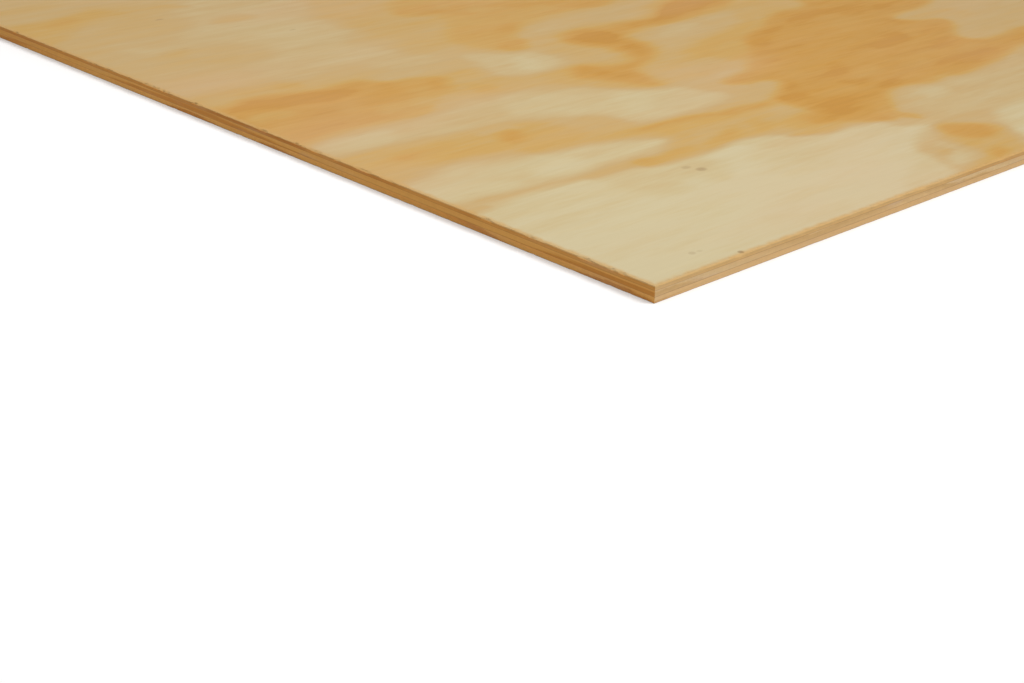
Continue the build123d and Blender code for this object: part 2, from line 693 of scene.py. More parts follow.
# The shades between the hook and the blotch.
BETWEEN = (
    patch(0.42, 10, (172, 204), (176, 215), (172, 234), (182, 248), (195, 262), (192, 240), (188, 208)),
    patch(0.43, 12, (186, 175), (190, 160), (205, 155), (230, 160), (242, 172), (256, 190), (225, 194)),
    patch(0.5, 8, (217, 178), (224, 187), (238, 188), (256, 190), (256, 180), (246, 171), (230, 170)),
    patch(
        0.46, 8, (292, 211), (300, 221), (312, 231), (336, 232), (356, 222), (346, 212), (330, 207),
        (310, 206),
    ),
    patch(0.28, 6, (204, 148), (208, 152), (220, 153), (214, 148)),
    patch(0.29, 10, (236, 212), (246, 223), (262, 224), (272, 216), (262, 208), (246, 206)),
)

# The small patch by the long edge: its halo, its body, its core and what shows through.
EDGE_PATCH = (
    patch(
        0.27, 13, (174, -14), (179, 6), (186, 16), (189, 24), (196, 31), (206, 38), (215, 43), (226, 43),
        (238, 39), (252, 28), (262, 14), (262, -14),
    ),
    patch(0.12, 9, (243, 26), (256, 38), (276, 46), (292, 50), (276, 30), (250, 10), (236, 12)),
    patch(
        0.5, 9, (204, 30), (211, 36), (220, 40), (229, 38), (238, 32), (240, 25), (234, 15), (226, 6),
        (218, -6), (176, -6), (180, 2), (190, 5), (200, 9), (204, 16), (204, 24),
    ),
    patch(0.46, 5, (216, 43), (223, 44), (228, 40), (222, 39)),
    patch(0.18, 5, (182, 7), (184, 13), (190, 18), (195, 19), (196, 14), (189, 8)),
    patch(0.44, 4, (187, 18), (191, 23), (196, 22), (193, 18)),
    patch(
        0.82, 7, (212, 30), (214, 37), (219, 41), (227, 38), (233, 33), (235, 28), (232, 24), (227, 21),
        (222, 20), (215, 24),
    ),
    patch(0.78, 6, (202, 2), (204, 8), (212, 10), (215, 7), (208, 2)),
)

# The great blotch: its halo, its body with all its fingers, its rims and the lighter wood inside.
BLOTCH = (
    patch(
        0.58, 12, (300, 208), (290, 206), (274, 202), (256, 198), (242, 194), (226, 184), (226, 172),
        (230, 162), (240, 158), (260, 170), (285, 190),
    ),
    patch(0.6, 7, (204, 130), (210, 138), (220, 143), (229, 152), (238, 156), (236, 150), (220, 140)),
    patch(0.28, 10, (230, 44), (236, 64), (246, 77), (268, 79), (292, 78), (316, 76), (345, 84), (330, 40)),
    patch(0.15, 8, (251, 68), (256, 76), (270, 75), (264, 67)),
    patch(
        0.86, 8, (263, 180), (268, 185), (279, 190), (292, 196), (300, 201), (310, 205), (322, 208),
        (335, 206), (345, 210), (352, 222), (366, 234), (392, 232), (402, 216), (420, 208), (430, 192),
        (416, 180), (402, 172), (393, 169), (384, 167), (374, 167), (362, 166), (357, 161), (361, 155),
        (371, 151), (377, 147), (375, 140), (367, 133), (357, 126), (352, 120), (354, 113), (362, 109),
        (376, 109), (394, 111), (414, 104), (404, 94), (384, 92), (364, 92), (350, 89), (338, 86), (325, 84),
        (298, 81), (285, 84), (276, 82), (268, 83), (258, 87), (248, 86), (240, 82), (234, 77), (228, 72),
        (222, 66), (212, 59), (204, 62), (197, 68), (190, 72), (181, 76), (184, 82), (193, 86), (194, 94),
        (194, 103), (197, 110), (204, 115), (214, 121), (219, 127), (214, 131), (206, 133), (198, 137),
        (201, 142), (211, 145), (222, 147), (233, 154), (242, 161), (252, 170),
    ),
    patch(0.64, 4, (213, 62), (218, 65), (223, 62), (225, 57), (222, 53), (218, 57)),
    patch(
        1.01, 8, (197, 98), (198, 108), (206, 112), (214, 118), (224, 123), (219, 113), (213, 107),
        (214, 99), (222, 93), (222, 86), (212, 80), (204, 76), (199, 80), (204, 88),
    ),
    patch(
        0.98, 6, (258, 172), (262, 182), (275, 186), (290, 190), (301, 191), (296, 184), (280, 179),
        (268, 170),
    ),
    patch(
        0.99, 7, (303, 185), (309, 194), (322, 199), (340, 201), (353, 196), (365, 194), (367, 188),
        (358, 181), (349, 180), (341, 186), (333, 191), (322, 186),
    ),
    patch(0.99, 5, (365, 180), (374, 186), (381, 182), (374, 177)),
    patch(1.08, 8, (302, 130), (306, 138), (318, 139), (328, 145), (337, 144), (333, 137), (322, 131)),
    patch(
        0.98, 7, (225, 112), (236, 114), (246, 119), (256, 127), (265, 130), (268, 126), (260, 119),
        (250, 111), (243, 104), (236, 107),
    ),
    patch(1.03, 6, (247, 90), (254, 97), (263, 97), (266, 92), (258, 88)),
    patch(
        1.0, 7, (281, 90), (292, 95), (302, 99), (325, 101), (342, 99), (349, 94), (340, 90), (322, 87),
        (302, 88),
    ),
    patch(0.97, 7, (322, 110), (328, 118), (337, 118), (336, 110)),
    patch(0.97, 6, (340, 136), (352, 142), (364, 146), (364, 140), (350, 134)),
    patch(0.75, 7, (221, 99), (225, 106), (236, 108), (241, 101), (234, 95)),
    patch(0.77, 8, (254, 106), (261, 118), (271, 121), (275, 112), (266, 103), (257, 98)),
    patch(0.76, 7, (283, 102), (290, 110), (300, 113), (305, 106), (296, 98)),
    patch(0.78, 9, (315, 160), (321, 178), (337, 184), (344, 175), (338, 168), (352, 160), (335, 156)),
    patch(0.77, 6, (214, 66), (222, 78), (234, 81), (228, 73), (220, 64)),
    patch(0.79, 6, (228, 130), (236, 136), (243, 132), (236, 126)),
    patch(0.44, 8, (364, 154), (378, 163), (393, 164), (402, 150), (398, 142), (385, 145), (375, 150)),
)

# The streaks where the figure runs out into the rest of the face.
STREAKS = (
    patch(0.06, 14, (262, -20), (300, 6), (350, 14), (430, 8), (400, -10), (330, -24)),
    patch(0.6, 10, (322, 26), (352, 40), (392, 46), (452, 42), (476, 34), (420, 26), (368, 20)),
    patch(0.1, 12, (384, 60), (412, 78), (462, 84), (520, 76), (496, 62), (436, 56)),
    patch(0.56, 9, (424, 98), (446, 112), (490, 116), (530, 110), (492, 98), (450, 94)),
    patch(0.08, 12, (455, 158), (474, 188), (520, 198), (560, 180), (520, 150), (475, 138)),
    patch(0.06, 12, (372, 236), (400, 243), (450, 245), (480, 238), (440, 226), (400, 227)),
    patch(0.05, 12, (270, 312), (300, 324), (356, 330), (400, 322), (350, 308), (310, 306)),
    patch(0.5, 9, (214, 338), (250, 352), (310, 358), (340, 346), (290, 334), (250, 328)),
    patch(0.08, 12, (168, 376), (200, 396), (260, 402), (300, 388), (250, 370), (210, 362)),
    patch(0.62, 9, (122, 408), (160, 426), (210, 430), (235, 416), (190, 404), (150, 398)),
    patch(0.06, 12, (75, 448), (110, 470), (160, 478), (200, 466), (150, 448), (110, 438)),
    patch(0.56, 9, (38, 482), (70, 500), (110, 506), (130, 494), (90, 484), (60, 476)),
    patch(0.08, 10, (-20, 502), (10, 522), (50, 536), (70, 520), (30, 508), (0, 498)),
)


@dataclass(frozen=True)
class CornerFigure:
    """The grain figure round the near corner, painted patch over patch on a plain ground.

    Attributes:
        reach: the patch of the face that the figure covers.
        ragged: how far that patch's border is pushed about, in millimetres.
        ragged_size: how long the bumps are that push it, along the grain and across it.
        ragged_seed: which bumps they are.
        slant: how much of the push goes across the grain too.
    """

    ground: float = 0.36
    patches: tuple[GrainPatch, ...] = (
        *CORNER_CREAM,
        *CREAM_BANDS,
        *FAR_SHADES,
        *BROAD_BAND,
        *ORANGE_BAND,
        *FAINT_PATCH,
        *HOOK,
        *BETWEEN,
        *EDGE_PATCH,
        *BLOTCH,
        *STREAKS,
    )
    reach: GrainPatch = REACH
    ragged: float = 34.0
    ragged_size: Point = (130.0, 30.0)
    ragged_seed: float = 60.0
    slant: float = 0.4

    def share(self, along: Field, across: Field) -> Field:
        """How much of the figure shows at each point: all of it near the corner, and fingers farther out."""
        push = self.ragged * bumps(along, across, self.ragged_size, self.ragged_seed)
        return self.reach.cover(along + push, across + self.slant * push)

    def tone(self, along: Field, across: Field) -> Field:
        """The figure's tone at each point.

        Args:
            along: the points' distance from the near corner along the grain, in millimetres.
            across: the same across the grain.

        Returns:
            From 0 to a little over 1.
        """
        tone = np.full(along.shape, self.ground)
        for layer in self.patches:
            tone += (layer.tone - tone) * layer.cover(along, across)
        return tone

    def laid_into(self, rings: Field, along: Field, across: Field) -> Field:
        """Gives the rings the corner's figure.

        Args:
            rings: the growth at each point, in rings.
            along: the points' distance from the near corner along the grain, in millimetres.
            across: the same across the grain.

        Returns:
            The growth, with the figure's own round the corner.
        """
        share = self.share(along, across)
        near = share > 0
        places, tones = zip(*RING_RISE)
        drawn = np.interp(self.tone(along[near], across[near]), tones, places)
        grown = rings.copy()
        grown[near] += (drawn - rings[near]) * share[near]
        return grown


# What is added to a log's seed for its ripples and for its vigour.
RIPPLE_SEED = 40.0
VIGOUR_SEED = 80.0


@dataclass(frozen=True)
class PeeledLog:
    """The log that a veneer was peeled from, and how its rings meet the knife.

    Attributes:
        seed: which log it is.
        turn: the veneer that one turn of the log gives.
        ring: from one growth ring to the next.
        sway: how far the log's heart lies from the middle of the lathe.
        lean: how far round the heart goes for each metre along the log, in turns.
        peel: how far the knife goes in with each turn.
        taper: how much the log loses of its radius in a metre.
        swell: how high its swellings are.
        swell_size: how long they are, along the grain and across it.
        ripple: how high the smaller ones are.
        ripple_size: how long those are.
        start: the growth where the count starts, in rings.
        vigour: how deep its late wood's tone is on average.
    """

    seed: float
    turn: float = 0.84
    ring: float = 7.0 * MM
    sway: float = 5.0 * MM
    lean: float = 0.07
    peel: float = 2.0 * MM
    taper: float = 3.0 * MM
    swell: float = 7.0 * MM
    swell_size: Point = (0.42, 0.1)
    ripple: float = 3.0 * MM
    ripple_size: Point = (0.14, 0.036)
    start: float = 1.25
    vigour: float = 0.64
    vigour_swing: float = 0.3
    vigour_size: Point = (0.6, 0.22)

    def rings(self, along: Field, across: Field) -> Field:
        """The growth at each point.

        Args:
            along: the points' places along the grain.
            across: their places across it.

        Returns:
            How many rings the knife has cut through to each point.
        """
        turns = across / self.turn
        heart = self.sway * np.cos(2.0 * math.pi * (turns + self.lean * along))
        radius = heart + self.peel * turns + self.taper * along
        radius += self.swell * bumps(along, across, self.swell_size, self.seed)
        radius += self.ripple * bumps(along, across, self.ripple_size, self.seed + RIPPLE_SEED)
        return radius / self.ring + self.start

    def depth(self, along: Field, across: Field) -> Field:
        """How deep the late wood's tone is at each point."""
        swing = bumps(along, across, self.vigour_size, self.seed + VIGOUR_SEED)
        return self.vigour + self.vigour_swing * swing


@dataclass(frozen=True)
class Mark:
    """A small dark mark on the face: a resin streak, a smudge or a speck.

    Attributes:
        along: its middle's distance from the near corner along the grain.
        across: the same across the grain.
        length: how long it is, along the grain.
        width: how wide it is.
        depth: how dark it is, from 0 to 1.
    """

    along: float
    across: float
    length: float
    width: float
    depth: float


@dataclass(frozen=True)
class Finish:
    """A finish of the wood, which each kind spells out as the values of a shader's sockets.

    Attributes:
        name: the material's name.
        seed: which noises it is made of.
    """

    name: str
    seed: float

    def material(self) -> bpy.types.Material:
        """Makes the material.

        Returns:
            The material, which reads places on the sheet itself.
        """
        made = bpy.data.materials.new(self.name)
        made.use_nodes = True
        bench = NodeBench(made.node_tree)
        bench.place = bench.value("ShaderNodeTexCoord", output="Object")
        bench.seed = self.seed
        shader = bench.value("ShaderNodeBsdfPrincipled", None, self.surface(bench))
        bench.node("ShaderNodeOutputMaterial", None, {"Surface": shader})
        return made

    def surface(self, bench: NodeBench) -> dict[str, Any]:
        """What the shader's sockets get.

        Args:
            bench: where the nodes go.

        Returns:
            The sockets' values, by name.
        """
        raise NotImplementedError


@dataclass(frozen=True)
class SandedFinish(Finish):
    """The sanded broad side of a softwood veneer, with the grain along X.

    Attributes:
        corner: the near corner, which the marks are measured from.
        half_size: half the sheet's length and width, where the worn arrises are.
        marks: its small dark marks.
        tones: the wood's colour from early wood to late wood.
        wander: how far fingers of late wood reach into the early wood, in rings.
        pit: how deep the canals and the marks lie.
        mark_edges: where a mark starts and is full, as the square of the way out from its middle.
    """

    corner: Point
    half_size: Point
    marks: tuple[Mark, ...] = ()
    tones: Tones = (
        (0.0, (197, 183, 146)),
        (0.12, (194, 176, 134)),
        (0.33, (189, 160, 111)),
        (0.55, (191, 153, 86)),
        (0.75, (190, 145, 73)),
        (0.9, (188, 140, 63)),
        (1.0, (184, 133, 54)),
    )
    worn: Colour = (199, 158, 98)
    worn_width: float = 3.2 * MM
    worn_shows: float = 0.85
    pitch: Colour = (120, 84, 48)
    canals_show: float = 0.3
    rosy: Colour = (203, 166, 130)
    clouds_show: float = 0.28
    wander: float = 0.12
    roughness: float = 0.64
    late_gloss: float = 0.07
    fibre_gloss: float = 0.12
    sheen: float = 0.08
    relief: float = 0.06 * MM
    relief_shows: float = 0.7
    late_threads: float = 0.09
    late_lift: float = 0.3
    pit: float = 0.8
    mark_edges: Point = (1.6, 0.1)
    fibres: Swells = Swells((14.0, 1500.0, 1500.0), 1.0, shade=0.07, lift=0.5)
    threads: Swells = Swells((34.0, 420.0, 420.0), 2.0, shade=0.05, lift=0.35)
    clouds: Swells = Swells((7.0, 16.0, 16.0), 3.0, edges=(-0.05, 0.28))
    fingers: Swells = Swells((22.0, 130.0, 130.0), 4.0, 3.0)
    tatters: Swells = Swells((70.0, 520.0, 520.0), 5.0)
    wear: Swells = Swells((260.0, 260.0, 0.0), 6.0)
    canals: Swells = Swells((95.0, 1300.0, 1300.0), 7.0, 0.0, edges=(0.27, 0.36))
    crowds: Swells = Swells((9.0, 30.0, 30.0), 8.0, edges=(-0.05, 0.2))

    def surface(self, bench: NodeBench) -> dict[str, Any]:
        """What the shader's sockets get: wood with its figure, its faint clouds, its wear and its pitch.

        Args:
            bench: where the nodes go.

        Returns:
            The sockets' values, by name.
        """
        fibres = bench.noise(self.fibres)
        threads = bench.noise(self.threads)
        tone = self._tone(bench)
        pitch = self._pitch(bench)
        shade = 1.0 + fibres * self.fibres.shade + threads * (self.threads.shade + tone * self.late_threads)
        colour = bench.ramp(tone, self.tones)
        colour = bench.mixed(bench.spots(self.clouds) * self.clouds_show, colour, linear(self.rosy))
        colour = bench.mixed(1.0, colour, shade, "MULTIPLY")
        colour = bench.mixed(self._wear(bench), colour, linear(self.worn))
        grain = fibres * self.fibres.lift + threads * self.threads.lift + tone * self.late_lift
        return {
            "Base Color": bench.mixed(pitch, colour, linear(self.pitch)),
            "Roughness": self.roughness - tone * self.late_gloss + fibres * self.fibre_gloss,
            "Specular IOR Level": self.sheen,
            "Normal": bench.bump(grain - pitch * self.pit, self.relief, self.relief_shows),
        }

    def _tone(self, bench: NodeBench) -> ShaderValue:
        """The wood's tone, from the growth that the mesh carries and the fingers of its edges.

        Args:
            bench: where the nodes go.

        Returns:
            From 0, early wood, to 1, late wood.
        """
        fingers = bench.noise(self.fingers) * (2.0 * self.wander)
        grown = bench.attribute("growth") + fingers + bench.noise(self.tatters) * self.wander
        return bench.profile(grown.fraction(), RING_PROFILE) * bench.attribute("vigour")

    def _wear(self, bench: NodeBench) -> ShaderValue:
        """How worn the wood is: all along the sheet's arrises, and nowhere else.

        Args:
            bench: where the nodes go.

        Returns:
            From 0 to worn_shows.
        """
        gaps = [half - part.magnitude() for part, half in zip(bench.parts(bench.place), self.half_size)]
        ragged = bench.noise(self.wear) * self.worn_width
        return (gaps[0].least(gaps[1]) + ragged).eased(self.worn_width, 0.0) * self.worn_shows

    def _pitch(self, bench: NodeBench) -> ShaderValue:
        """How dark the resin canals, which come in crowds, and the marks make each point.

        Args:
            bench: where the nodes go.

        Returns:
            From 0 to 1.
        """
        dark = bench.spots(self.canals) * bench.spots(self.crowds) * self.canals_show
        along, across, _ = bench.parts(bench.place)
        for mark in self.marks:
            run = (along - (self.corner[0] + mark.along)) / (mark.length / 2.0)
            off = (across - (self.corner[1] + mark.across)) / (mark.width / 2.0)
            dark = dark.most((run * run + off * off).eased(*self.mark_edges) * mark.depth)
        return dark


# What the saw leaves of wood cut across its fibres, and of wood cut along them.
PORES = Swells((260.0, 260.0, 2600.0), 1.0, 3.0, shade=0.3, lift=0.6)
FIBRES = Swells((30.0, 30.0, 3000.0), 1.0, 3.0, shade=0.3, lift=0.6)


@dataclass(frozen=True)
class SawnFinish(Finish):
    """A sawn edge of a veneer.

    Attributes:
        tones: the wood's colour from early wood to late wood.
        glued: whether there is a glue line at the veneer's lower and upper side.
        outer: whether the veneer's upper side is the open face, just under which it is darker.
        strands: its pores or fibres.
        patches: its weathered flecks.
        flecks: how much of them shows.
        grey: their colour, as weathered wood's.
        glue_width: how thick its glue lines are on average, as a share of the veneer.
        glue_edges: where in that thickness a line starts, and is full.
        wander: how far the rings are pulled about by the strands, in rings.
    """

    tones: Tones
    glued: tuple[bool, bool]
    outer: bool = False
    under_face: float = 0.1
    under_edges: Point = (0.25, 0.75)
    strands: Swells = PORES
    scores: Swells = Swells((620.0, 620.0, 45.0), 2.0, shade=0.12, lift=0.5)
    patches: Swells = Swells((42.0, 42.0, 260.0), 3.0, edges=(0.02, 0.26))
    flecks: float = 0.2
    grey: Colour = (200, 172, 140)
    glue: Colour = (128, 82, 40)
    glue_shows: float = 0.42
    glue_swells: Swells = Swells((70.0, 70.0, 0.0), 4.0)
    glue_width: float = 0.07
    glue_swing: float = 0.06
    glue_edges: Point = (1.0, 0.3)
    glue_sunk: float = 0.3
    glue_gloss: float = 0.2
    wander: float = 0.25
    roughness: float = 0.78
    strand_gloss: float = 0.15
    sheen: float = 0.25
    relief: float = 0.12 * MM
    relief_shows: float = 0.8

    def surface(self, bench: NodeBench) -> dict[str, Any]:
        """What the shader's sockets get: torn wood with its rings, its flecks and its glue lines.

        Args:
            bench: where the nodes go.

        Returns:
            The sockets' values, by name.
        """
        height = bench.attribute("ply_height")
        strands = bench.noise(self.strands)
        scores = bench.noise(self.scores)
        glue = self._glue_lines(bench, height)
        rings = (bench.attribute("growth") + strands * self.wander).fraction()
        shade = 1.0 + strands * self.strands.shade + scores * self.scores.shade
        if self.outer:
            shade = shade * (1.0 - height.eased(*self.under_edges) * self.under_face)
        colour = bench.ramp(bench.profile(rings, RING_PROFILE), self.tones)
        colour = bench.mixed(bench.spots(self.patches) * self.flecks, colour, linear(self.grey))
        colour = bench.mixed(1.0, colour, shade, "MULTIPLY")
        torn = strands * self.strands.lift + scores * self.scores.lift - glue * self.glue_sunk
        return {
            "Base Color": bench.mixed(glue, colour, linear(self.glue)),
            "Roughness": self.roughness + strands * self.strand_gloss - glue * self.glue_gloss,
            "Specular IOR Level": self.sheen,
            "Normal": bench.bump(torn, self.relief, self.relief_shows),
        }

    def _glue_lines(self, bench: NodeBench, height: ShaderValue) -> ShaderValue:
        """How much of the glue shows: along the veneer's glued sides, thick in places and thin in others.

        Args:
            bench: where the nodes go.
            height: how high it is, from 0 at the veneer's lower side to 1 at its upper side.

        Returns:
            From 0 to glue_shows.
        """
        width = bench.noise(self.glue_swells) * self.glue_swing + self.glue_width
        line = bench.value("ShaderNodeValue")
        for glued, gap in zip(self.glued, (height, 1.0 - height)):
            if glued:
                line = line.most((gap / width).eased(*self.glue_edges))
        return line * self.glue_shows


@dataclass(frozen=True)
class GlueFinish(Finish):
    """The glued broad side of a veneer, which nothing shows but a cut.

    Attributes:
        dry: its colour where the glue is thin.
        thick: its colour where it is thick.
        spread: how the two lie side by side.
    """

    dry: Colour = (150, 104, 62)
    thick: Colour = (96, 58, 30)
    spread: Swells = Swells((60.0, 60.0, 60.0), 0.0, 3.0, edges=(-0.2, 0.2))
    roughness: float = 0.6
    thick_gloss: float = 0.2

    def surface(self, bench: NodeBench) -> dict[str, Any]:
        """What the shader's sockets get: wood stained by glue, glossier where it is thick.

        Args:
            bench: where the nodes go.

        Returns:
            The sockets' values, by name.
        """
        thick = bench.spots(self.spread)
        colour = bench.mixed(thick, linear(self.dry), linear(self.thick))
        return {"Base Color": colour, "Roughness": self.roughness - thick * self.thick_gloss}


@dataclass(frozen=True)
class Station:
    """A point of the sheet's outline.

    Attributes:
        x: its place along X.
        y: its place along Y.
        inward: the way in from it.
        side: the side of the sheet that starts there or that it lies on.
    """

    x: float
    y: float
    inward: Point
    side: Side


@dataclass(frozen=True)
class Outline:
    """The sheet's outline, with points close together round the near corner.

    Attributes:
        close: from point to point near the corner.
        wide: from point to point elsewhere.
        close_reach: how far from the corner they are close together, along X and along Y.
        grid_reach: how far from it a grid's lines are close together.
        grid_growth: how much wider apart each is than the last, beyond that.
    """

    low: Point
    high: Point
    close: float = 1.25 * MM
    wide: float = 5.0 * MM
    close_reach: Point = (0.28, 0.46)
    grid_reach: float = 0.46
    grid_growth: float = 1.06

    def stations(self) -> list[Station]:
        """The outline's points.

        Returns:
            The points, anticlockwise from the near corner.
        """
        (x0, y0), (x1, y1) = self.low, self.high
        xs = self._steps(x0, x1, self.close_reach[0])
        ys = self._steps(y0, y1, self.close_reach[1])
        return [
            Station(x0, y0, (1.0, 1.0), Side.LONG),
            *[Station(x, y0, (0.0, 1.0), Side.LONG) for x in xs],
            Station(x1, y0, (-1.0, 1.0), Side.SHORT),
            *[Station(x1, y, (-1.0, 0.0), Side.SHORT) for y in ys],
            Station(x1, y1, (-1.0, -1.0), Side.LONG),
            *[Station(x, y1, (0.0, -1.0), Side.LONG) for x in reversed(xs)],
            Station(x0, y1, (1.0, -1.0), Side.SHORT),
            *[Station(x0, y, (1.0, 0.0), Side.SHORT) for y in reversed(ys)],
        ]

    def _steps(self, start: float, end: float, reach: float) -> list[float]:
        """The places of the points between two corners.

        Args:
            start: the near corner's place.
            end: the far corner's place.
            reach: how far from the near corner they are close together.

        Returns:
            Their places, without the corners'.
        """
        close = round(reach / self.close)
        wide = round((end - start - reach) / self.wide)
        near = [start + reach * (i + 1) / close for i in range(close)]
        return near + [start + reach + (end - start - reach) * (i + 1) / wide for i in range(wide - 1)]

    def grid(self, close: float, wide: float, margin: float) -> list[Point]:
        """Points inside the outline, close together round the near corner.

        Args:
            close: from point to point near the corner.
            wide: from point to point far from it.
            margin: how far inside the outline they stop.

        Returns:
            The points.
        """
        (x0, y0), (x1, y1) = self.low, self.high
        xs = self._spread(x0 + margin, x1 - margin, close, wide)
        ys = self._spread(y0 + margin, y1 - margin, close, wide)
        return [(x, y) for y in ys for x in xs]

    def _spread(self, start: float, end: float, close: float, wide: float) -> list[float]:
        """The places of a grid's lines, close at first and then ever wider apart.

        Args:
            start: the first line's place.
            end: where they stop.
            close: from line to line at first.
            wide: from line to line at most.

        Returns:
            Their places.
        """
        places = [start]
        step = close
        while places[-1] + step < end:
            places.append(places[-1] + step)
            if places[-1] - start > self.grid_reach:
                step = min(wide, step * self.grid_growth)
        return places


@dataclass(frozen=True)
class Row:
    """A ring of points round a veneer.

    Attributes:
        height: how high it is, from 0 at the veneer's lower side to 1 at its upper side.
        inset: how far inside the outline it is.
        recess: how much of the saw's relief it takes, along the way in.
        chip: how much of the chips' depth it takes, along the way in and up.
    """

    height: float
    inset: float = 0.0
    recess: float = 1.0
    chip: Point = (0.0, 0.0)


STILL: Triple = (0.0, 0.0, 0.0)


@dataclass
class Shell:
    """A closed mesh as it is gathered, with what its finish and its relief read.

    Attributes:
        points: the points' places.
        heights: how high each is, from 0 at the veneer's lower side to 1 at its upper side.
        recess: the way that the saw's relief moves each.
        chips: the way that the chips move each.
        faces: the numbers of each face's points.
        cuts: what cut each face shows.
    """

    points: list[Triple] = field(default_factory=list)
    heights: list[float] = field(default_factory=list)
    recess: list[Triple] = field(default_factory=list)
    chips: list[Triple] = field(default_factory=list)
    faces: list[tuple[int, ...]] = field(default_factory=list)
    cuts: list[int] = field(default_factory=list)

    def add_point(self, place: Triple, height: float, recess: Triple = STILL, chip: Triple = STILL) -> int:
        """Adds a point.

        Args:
            place: its place.
            height: how high it is in the veneer, from 0 to 1.
            recess: the way that the saw's relief moves it.
            chip: the way that the chips move it.

        Returns:
            Its number.
        """
        self.points.append(place)
        self.heights.append(height)
        self.recess.append(recess)
        self.chips.append(chip)
        return len(self.points) - 1

    def add_face(self, corners: tuple[int, ...], cut: Cut) -> None:
        """Adds a face between points that are there, with the cut that it shows."""
        self.faces.append(corners)
        self.cuts.append(cut.value)

    def mesh(self, name: str, growth: Field, vigour: Field) -> bpy.types.Mesh:
        """Makes the mesh of what was gathered.

        Args:
            name: its name.
            growth: the growth at each point, in rings.
            vigour: how deep the late wood's tone is there.

        Returns:
            The mesh, which carries all of it.
        """
        made = bpy.data.meshes.new(name)
        made.from_pydata(self.points, [], self.faces)
        for title, values in (("growth", growth), ("vigour", vigour), ("ply_height", self.heights)):
            layer = made.attributes.new(title, "FLOAT", "POINT")
            layer.data.foreach_set("value", np.array(values, np.float32))
        for title, ways in (("recess_way", self.recess), ("chip_way", self.chips)):
            layer = made.attributes.new(title, "FLOAT_VECTOR", "POINT")
            layer.data.foreach_set("vector", np.array(ways, np.float32).ravel())
        made.attributes.new("cut", "INT", "FACE").data.foreach_set("value", self.cuts)
        return made


# Points of a broad side that are closer than this are one.
SAME_PLACE = 1e-7


